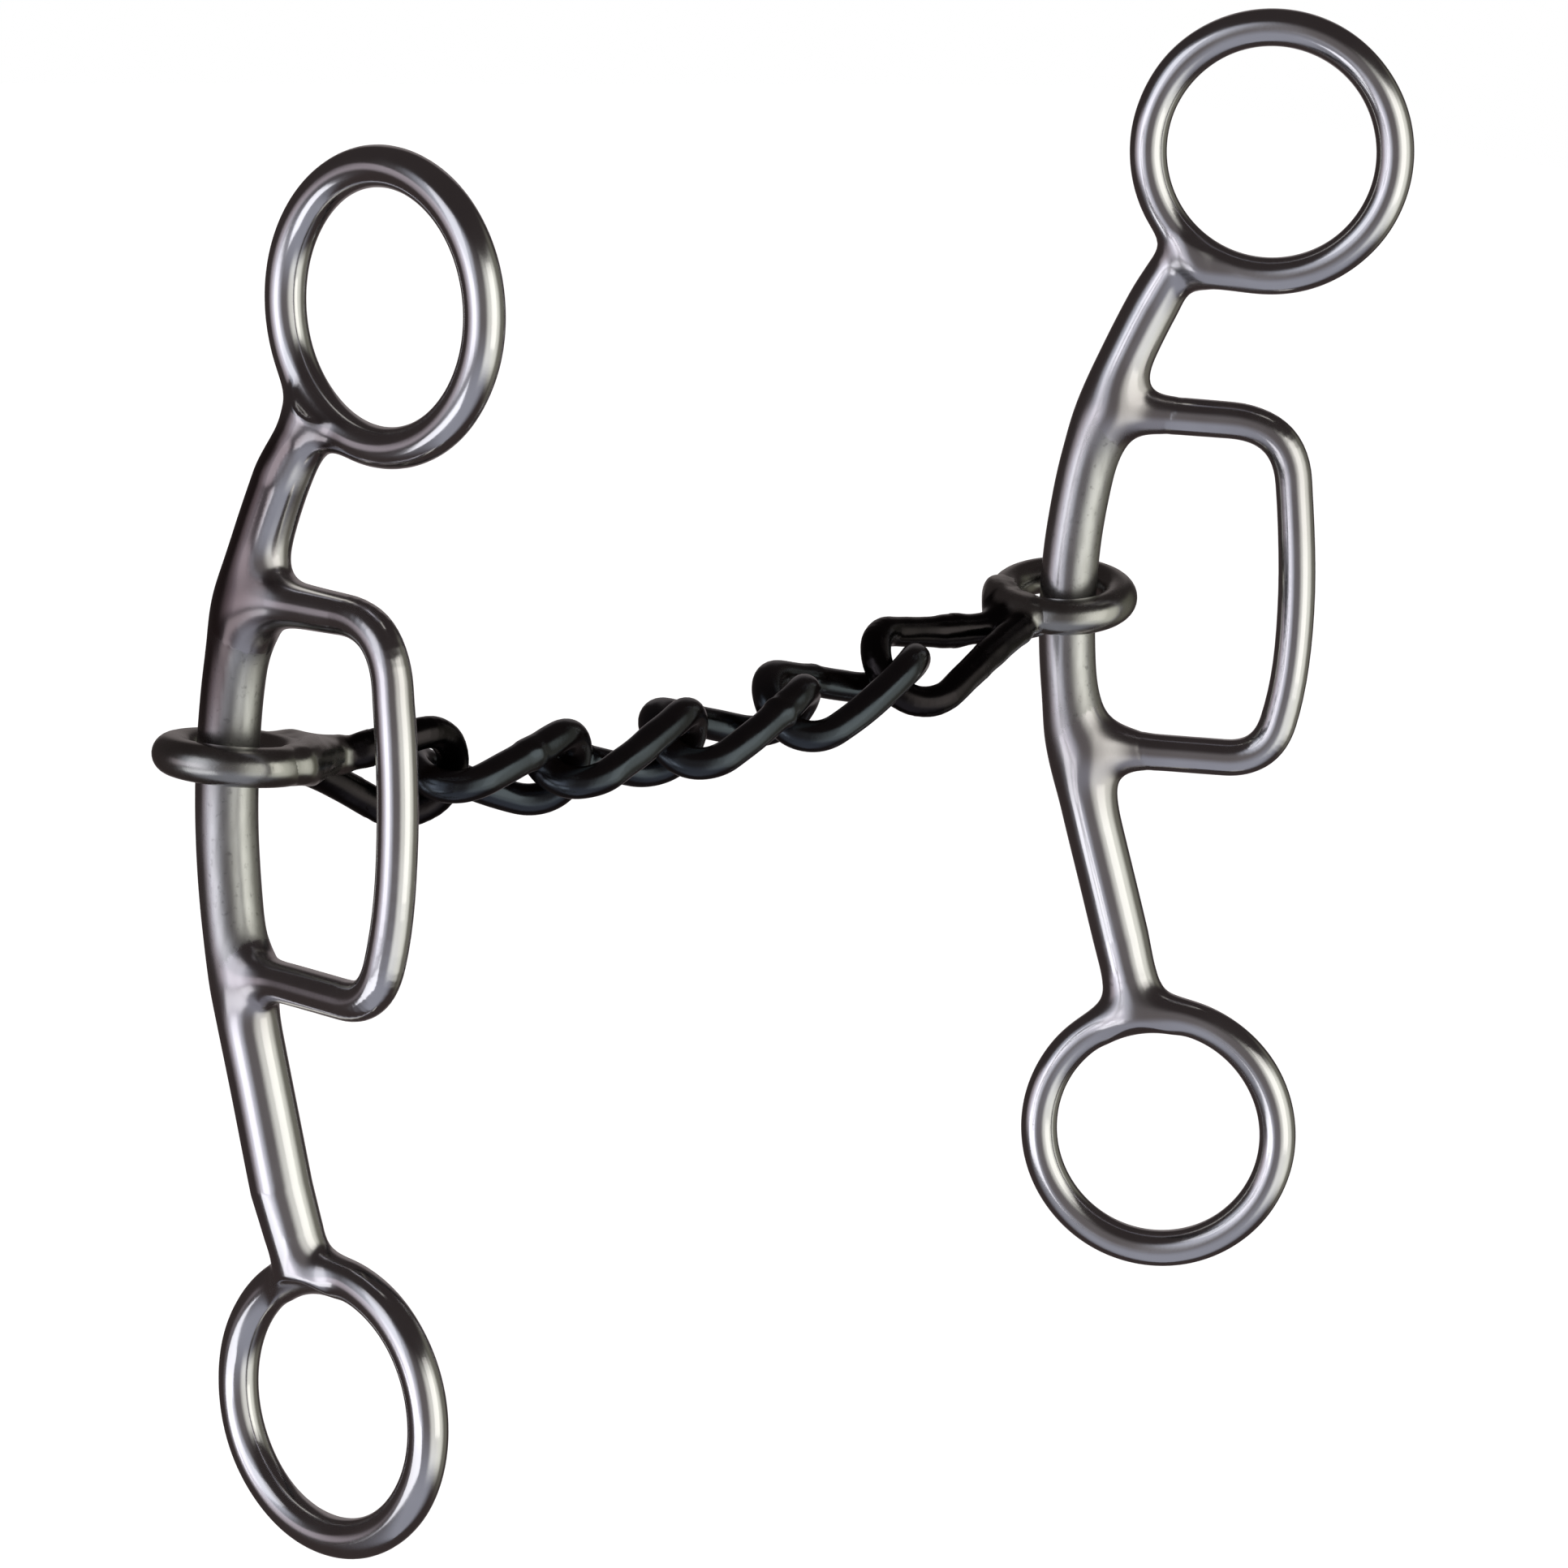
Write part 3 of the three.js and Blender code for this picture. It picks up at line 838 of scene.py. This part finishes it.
def end_link_line(root, touch, end, steps):
    """The middle line of an end link: out along one leg from the root, round the bend and back."""
    along = touch - root
    axes = loop_axes(along, math.radians(end["roll"]))
    apex = np.linalg.norm(along) + WIRE + GAP / 2
    bend = end["bend"]
    centre = apex - bend
    spread = math.asin((bend - end["root_half"]) / centre)
    leg_length = (centre - bend * math.sin(spread)) / math.cos(spread)
    twist = math.radians(end["twist"])

    def at(x, y):
        return loop_point(root, axes, x, y, twist * (x / apex - 1))

    def leg(distance, side):
        return at(distance * math.cos(spread), side * (end["root_half"] + distance * math.sin(spread)))

    sweep = math.pi / 2 + spread
    upper = [leg(d, 1) for d in np.linspace(NECK_LENGTH - 2, leg_length, 8)]
    bow = [
        at(centre + bend * math.cos(a), bend * math.sin(a)) for a in np.linspace(sweep, -sweep, steps)
    ]
    lower = [leg(d, -1) for d in np.linspace(leg_length, LOWER_LEG_END, 10)]
    collar = leg(NECK_LENGTH, 1)
    return np.array(upper + bow[1:-1] + lower), np.array(lower), collar


def web_lines(centre, axis, neck_run, web_end, spread):
    """Lines from the sides of an eye's ring to its neck. Rods along them make the two look like one drop."""
    outward = neck_run - axis * (neck_run @ axis)
    outward /= np.linalg.norm(outward)
    sideways = np.cross(axis, outward)
    webs = []
    for share in (-1, -0.65, -0.3, 0.3, 0.65, 1):
        angle = math.radians(spread) * share
        start = centre + EYE_RADIUS * (outward * math.cos(angle) + sideways * math.sin(angle))
        webs.append(np.array([start, web_end]))
    return webs


def make_eye_ring(side, centre, axis, material):
    steps, sides = 160, 32
    angle = np.linspace(0, 2 * math.pi, steps, endpoint=False)
    first = np.cross(axis, [0, 1.0, 0])
    first /= np.linalg.norm(first)
    second = np.cross(axis, first)
    line = centre + EYE_RADIUS * (np.outer(np.cos(angle), first) + np.outer(np.sin(angle), second))
    radii = np.full((steps, sides, 1), EYE_ROD)
    skin, faces = closed_tube(line, np.repeat(axis[None], steps, 0), radii, sides)
    obj = mesh_object(f"{side}_eye_ring", skin, faces)
    hand_over(obj, material, f"{side}_eye", f"{side}_eye")


def make_mouth_end(side, touch, material):
    """The eye, the neck welded to it and the end link."""
    end = ENDS[side]
    centre = SEATS[side] + np.array(end["shift"])
    axis = np.array(end["tip"], float)
    axis /= np.linalg.norm(axis)
    root = SEATS[side] + np.array(end["root"])
    wire, lower_leg, collar = end_link_line(root, touch, end, 26)
    neck_run = (collar - root) / np.linalg.norm(collar - root)
    # The neck starts inside the ring's rod, so that its fillet grows out of the ring. It has a weld collar.
    bare = end["bare"]
    neck_line = root + neck_run * np.array([-2.0, 0.6, bare - 0.6, bare, bare + 0.6, NECK_LENGTH])[:, None]
    neck_line[2:5] -= axis * COLLAR_DROP
    neck_radii = [EYE_ROD, NECK_WIDE, WIRE + 0.05, WIRE + COLLAR_SWELL, WIRE + 0.05, WIRE]
    web_end = root + neck_run * end["web_end"] - axis * WEB_DROP
    webs = web_lines(centre, axis, neck_run, web_end, end["web"])

    def parts(p):
        neck = line_distance(p, neck_line, neck_radii)
        for web in webs:
            neck = smooth_min(neck, line_distance(p, web, [EYE_ROD - 0.1, WIRE - 0.4]), 1.5)
        # The neck holds a slightly thinner ring, which the eye's own ring covers.
        ring = ring_distance(p, centre, axis, EYE_RADIUS, EYE_ROD - 0.06)
        link = line_distance(p, wire, [WIRE] * len(wire))
        return neck, ring, link

    def off_axis(p):
        away = p - centre
        return lengths(away - np.outer(away @ axis, axis))

    def depth(p):
        return (p - root) @ neck_run

    def joined(p):
        neck, ring, link = parts(p)
        # The fillet fades out on the bore's side of the ring and where the webs leave the ring.
        reach = 0.05 + NECK_WELD * smooth_step(off_axis(p), 6.4, 10.0) * smooth_step(depth(p), -3.0, 1.0)
        whole = smooth_min(smooth_min(neck, link, 1.6), ring, reach)
        return whole + 0.04 * waves(p, 70, 5.0) * smooth_step(off_axis(p), 9.0, 11.0)

    def neck_field(p):
        behind = np.minimum(lengths(p - root) - NECK_SPREAD, -depth(p))
        trimmed = np.maximum(np.maximum(joined(p), depth(p) - NECK_LENGTH + 1.0), behind)
        return np.maximum(trimmed, EYE_CLEAR - off_axis(p))

    def link_field(p):
        # A little thinner than the neck, which covers its first millimetres.
        return np.maximum(joined(p) + 0.05, NECK_LENGTH - 2.5 - depth(p))

    everything = np.concatenate([wire, neck_line] + webs)
    low, high = everything.min(0) - 8, everything.max(0) + 8
    pieces = (("eye_neck", neck_field, "eye_steel"), ("end_link", link_field, "chain_steel"))
    for name, field, slot in pieces:
        points, quads, normals = surface(field, low, high, NECK_VOXEL)
        neck = parts(points)[0]
        to_lower = line_distance(points, lower_leg, [WIRE] * len(lower_leg))
        edge = depth(points) + 0.35 * waves(points, 80, 2.5)
        black = np.maximum(smooth_step(edge, bare, bare + 0.9), 1 - smooth_step(to_lower - neck, -1.0, 0.4))
        obj = mesh_object(f"{side}_{name}_steel", points, quads, normals, marks={"black": black})
        hand_over(obj, material, f"{side}_end", f"{side}_{name}")
    make_eye_ring(side, centre, axis, material)


# ---------------------------------------------------------------- camera, light and floor

def make_camera():
    camera = bpy.data.cameras.new("camera")
    camera.lens = 137.6
    camera.sensor_width = 36
    camera.clip_start, camera.clip_end = 0.01, 50
    obj = bpy.data.objects.new("camera", camera)
    bpy.context.scene.collection.objects.link(obj)
    back = Vector((-0.654, -0.728, 0.203)).normalized()
    right = Vector((0.753, -0.654, 0.080))
    right = (right - back * right.dot(back)).normalized()
    up = back.cross(right)
    matrix = Matrix((right, up, back)).transposed().to_4x4()
    matrix.translation = (-0.41244, -0.53308, 0.08849)
    obj.matrix_world = matrix
    bpy.context.scene.camera = obj


def softbox(name, azimuth, elevation, distance, width, height, radiance, colour):
    """A rectangular light that faces the bit. Azimuth is turned from -Y towards +X."""
    light = bpy.data.lights.new(name, "AREA")
    light.shape = "RECTANGLE"
    light.size, light.size_y = width, height
    light.energy = radiance * math.pi * width * height
    light.color = colour
    obj = bpy.data.objects.new(name, light)
    bpy.context.scene.collection.objects.link(obj)
    a, e = math.radians(azimuth), math.radians(elevation)
    away = Vector((math.sin(a) * math.cos(e), -math.cos(a) * math.cos(e), math.sin(e)))
    obj.location = MIDDLE + away * distance
    obj.visible_camera = False
    obj.rotation_mode = "QUATERNION"
    obj.rotation_quaternion = away.to_track_quat("Z", "Y")


def facing(tree, direction, towards, low, high):
    """How much a direction of the sky faces the given one: 0 below the cosine low, 1 above the cosine high."""
    dot = tree.nodes.new("ShaderNodeVectorMath")
    dot.operation = "DOT_PRODUCT"
    dot.inputs[1].default_value = towards
    tree.links.new(direction, dot.inputs[0])
    node = tree.nodes.new("ShaderNodeMapRange")
    node.interpolation_type = "SMOOTHSTEP"
    node.inputs["From Min"].default_value = low
    node.inputs["From Max"].default_value = high
    tree.links.new(dot.outputs["Value"], node.inputs["Value"])
    return node.outputs["Result"]


def level_direction(azimuth):
    a = math.radians(azimuth)
    return (math.sin(a), -math.cos(a), 0)


def cosine(angle):
    return math.cos(math.radians(angle))


def level_heading(tree, sky):
    """The level part of a direction of the sky, one unit long."""
    flat = tree.nodes.new("ShaderNodeVectorMath")
    flat.operation = "MULTIPLY"
    flat.inputs[1].default_value = (1, 1, 0)
    tree.links.new(sky, flat.inputs[0])
    level = tree.nodes.new("ShaderNodeVectorMath")
    level.operation = "NORMALIZE"
    tree.links.new(flat.outputs["Vector"], level.inputs[0])
    return level.outputs["Vector"]


def room_colour(tree, sky):
    """What the bit mirrors: a dim room with two tall soft panels in front of it, left and right, a fainter
    one beside and one behind it, and a paler floor in front."""
    heading = level_heading(tree, sky)
    up, down = (0, 0, 1), (0, 0, -1)

    def both(first, second):
        return arithmetic(tree, "MULTIPLY", first, second)

    def around(azimuth, outer, inner):
        return facing(tree, heading, level_direction(azimuth), cosine(outer), cosine(inner))

    top = facing(tree, sky, down, -0.66, -0.38)
    short = both(facing(tree, sky, up, -0.40, -0.18), top)
    tall = both(facing(tree, sky, up, -0.72, -0.42), top)
    low = facing(tree, sky, down, -0.7, -0.25)
    lowest = both(facing(tree, sky, up, -0.40, -0.18), facing(tree, sky, down, -0.18, -0.02))
    front = around(FRONT, 95, 30)
    floor = both(facing(tree, sky, down, 0.05, 0.7), front)
    glows = [
        (both(front, low), (0.125, 0.12, 0.122)),
        (floor, (0.20, 0.23, 0.29)),
        (both(around(FRONT - 48, 34, 12), short), (0.48, 0.52, 0.60)),
        (both(around(FRONT - 62, 38, 14), lowest), (0.42, 0.38, 0.42)),
        (both(around(FRONT + 58, 48, 22), tall), (0.80, 0.82, 0.75)),
        (both(around(FRONT + 96, 50, 20), tall), (0.16, 0.166, 0.13)),
        (both(around(FRONT + 180, 24, 10), tall), (0.22, 0.20, 0.20)),
    ]
    colour = mix_colour(tree, facing(tree, sky, up, -0.5, 0.5), (0.050, 0.039, 0.038), (0.040, 0.033, 0.033))
    for share, glow in glows:
        add = tree.nodes.new("ShaderNodeMix")
        add.data_type = "RGBA"
        add.blend_type = "ADD"
        tree.links.new(share, add.inputs["Factor"])
        tree.links.new(colour, add.inputs[6])
        add.inputs[7].default_value = (*glow, 1)
        colour = add.outputs[2]
    return colour


def make_world():
    """White where the camera looks past the bit, and the room everywhere else."""
    world = bpy.data.worlds.new("studio")
    bpy.context.scene.world = world
    world.use_nodes = True
    tree = world.node_tree
    tree.nodes.clear()
    place = tree.nodes.new("ShaderNodeTexCoord")
    room = tree.nodes.new("ShaderNodeBackground")
    tree.links.new(room_colour(tree, place.outputs["Generated"]), room.inputs["Color"])
    white = tree.nodes.new("ShaderNodeBackground")
    white.inputs["Color"].default_value = (1, 1, 1, 1)
    path = tree.nodes.new("ShaderNodeLightPath")
    choose = tree.nodes.new("ShaderNodeMixShader")
    tree.links.new(path.outputs["Is Camera Ray"], choose.inputs[0])
    tree.links.new(room.outputs[0], choose.inputs[1])
    tree.links.new(white.outputs[0], choose.inputs[2])
    out = tree.nodes.new("ShaderNodeOutputWorld")
    tree.links.new(choose.outputs[0], out.inputs["Surface"])


def make_floor():
    """A white floor, so far down that no pose of the hanging bit reaches it."""
    mesh = bpy.data.meshes.new("floor")
    half = 4.0
    level = -0.45
    mesh.from_pydata(
        [(-half, -half, level), (half, -half, level), (half, half, level), (-half, half, level)],
        [], [(0, 1, 2, 3)],
    )
    obj = bpy.data.objects.new("floor", mesh)
    bpy.context.scene.collection.objects.link(obj)
    material, tree, shader = node_tree("floor")
    shader.inputs["Base Color"].default_value = (0.85, 0.85, 0.85, 1)
    shader.inputs["Roughness"].default_value = 0.9
    shader.inputs["Specular IOR Level"].default_value = 0.0
    shader.inputs["Emission Color"].default_value = (1, 1, 1, 1)
    shader.inputs["Emission Strength"].default_value = 1.0
    mesh.materials.append(material)
    obj.visible_glossy = False
    obj.visible_diffuse = False


bpy.context.scene.view_settings.view_transform = "Standard"
make_camera()
make_world()
make_floor()
softbox("left_box", FRONT - 50, 10, 0.9, 0.38, 0.88, 0.6, (0.93, 0.95, 1.0))
softbox("right_box", FRONT + 56, 10, 0.9, 0.50, 0.88, 0.55, (1.0, 1.0, 0.93))
softbox("low_box", FRONT - 50, -28, 0.44, 0.30, 0.13, 1.3, (0.93, 0.95, 1.0))

polished = cheek_steel()
darkened = eye_steel()
black_steel = chain_steel()
for side in ("left", "right"):
    make_cheek(side, polished)
first_touch = SEATS["left"] + np.array(FIRST_TOUCH)
touch = first_touch
for index, lie in enumerate(LINKS):
    touch = make_link(index, touch, lie, black_steel)
make_mouth_end("left", first_touch, darkened)
make_mouth_end("right", touch, darkened)
